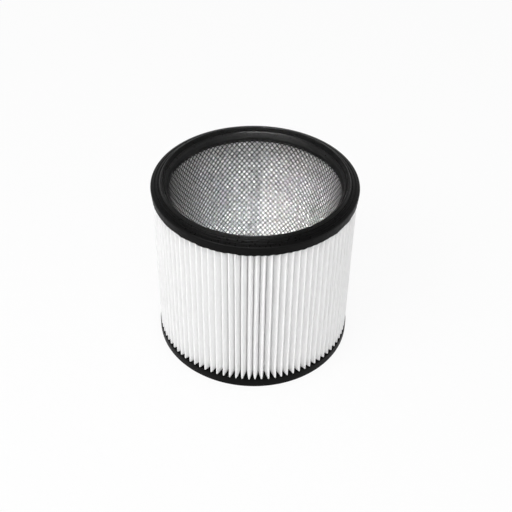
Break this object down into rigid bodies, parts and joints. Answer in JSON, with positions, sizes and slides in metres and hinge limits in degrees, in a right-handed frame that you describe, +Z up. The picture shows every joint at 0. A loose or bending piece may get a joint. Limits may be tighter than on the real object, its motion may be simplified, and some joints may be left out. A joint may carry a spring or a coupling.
{
  "type": "pleated cartridge filter",
  "caption": "Open cylinder of folded white paper round a diamond mesh cage, cast into a stepped black seal ring above and a plain black ring below.",
  "frame": {"origin": "centre of the lower face of the bottom ring, on the surface that the cartridge stands on", "axes": "+Z up along the axis of the cartridge, towards the stepped seal ring; X and Y are free, as the part is round"},
  "size_m": [0.196, 0.196, 0.182],
  "materials": {
    "seal_vinyl": "satin",
    "base_vinyl": "matte",
    "filter_paper": "matte",
    "cage_metal": "galvanised"
  },
  "bodies": {
    "root": {"top_seal_ring": "seal_vinyl", "bottom_ring": "base_vinyl", "pleated_media": "filter_paper", "inner_cage": "cage_metal"}
  },
  "joints": []
}
